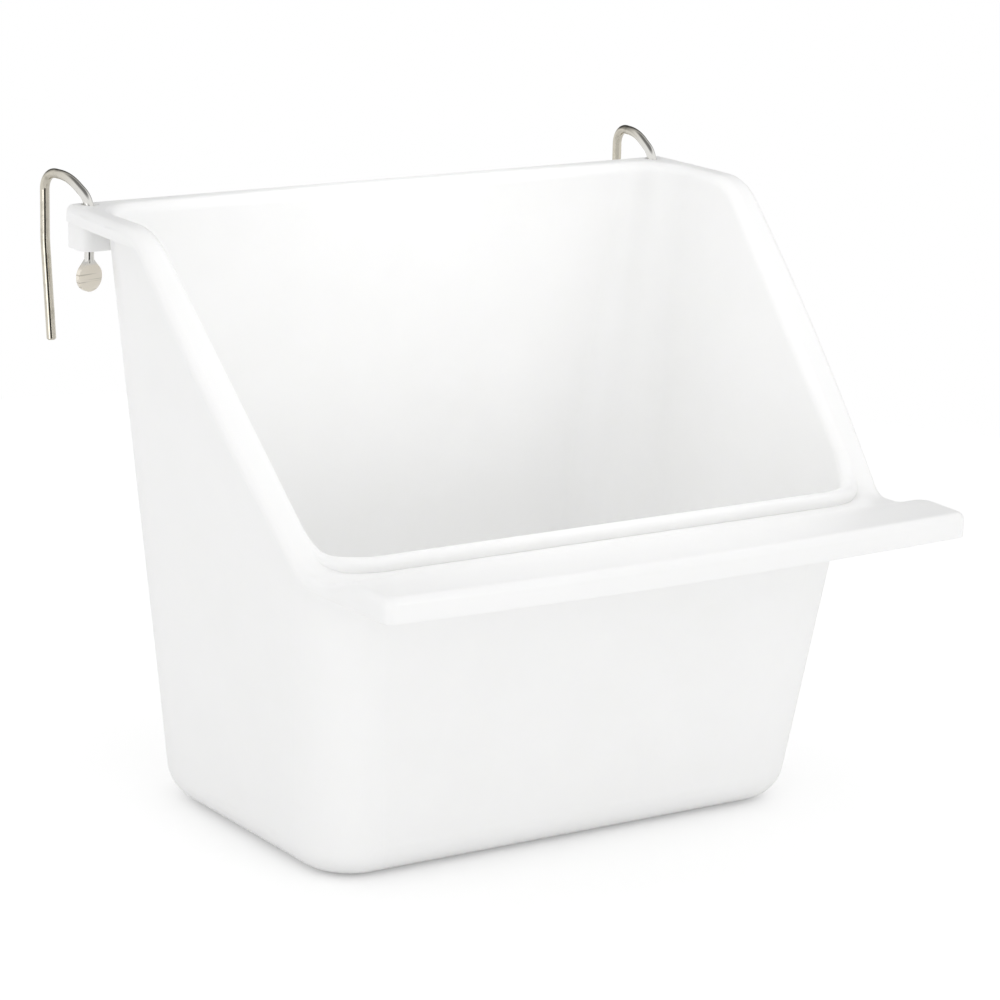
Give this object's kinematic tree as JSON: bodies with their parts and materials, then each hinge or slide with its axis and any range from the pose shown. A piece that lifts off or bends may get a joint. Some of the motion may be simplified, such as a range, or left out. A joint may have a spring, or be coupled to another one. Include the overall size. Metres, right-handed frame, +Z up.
{
  "type": "hanging feed cup",
  "caption": "Deep moulded feed cup with a sloping open front and landing lip, hung from cage wire by swivelling wire hooks.",
  "frame": {"origin": "middle of the base's underside: halfway between the foot's side walls and halfway between its front and rear walls", "axes": "+X to the cup's own left when it is seen from behind, which is the picture's right; +Y to the rear, where the hooks hang; +Z up"},
  "size_m": [0.2058, 0.1787, 0.1751],
  "materials": {
    "cup_plastic": "satin moulded",
    "hook_wire": "bright plated wire"
  },
  "bodies": {
    "cup": {"cup": "cup_plastic"},
    "hook_left": {"hook_left": "hook_wire"},
    "hook_right": {"hook_right": "hook_wire"}
  },
  "joints": [
    {"name": "hook_left_swivel", "type": "hinge", "parent": "cup", "child": "hook_left", "pos_m": [-0.09546, 0.05478, 0.1616], "axis": [0, 0, 1], "range_deg": [-81, 141]},
    {"name": "hook_right_swivel", "type": "hinge", "parent": "cup", "child": "hook_right", "pos_m": [0.09546, 0.05478, 0.1616], "axis": [0, 0, 1], "range_deg": [-146, 76]}
  ]
}
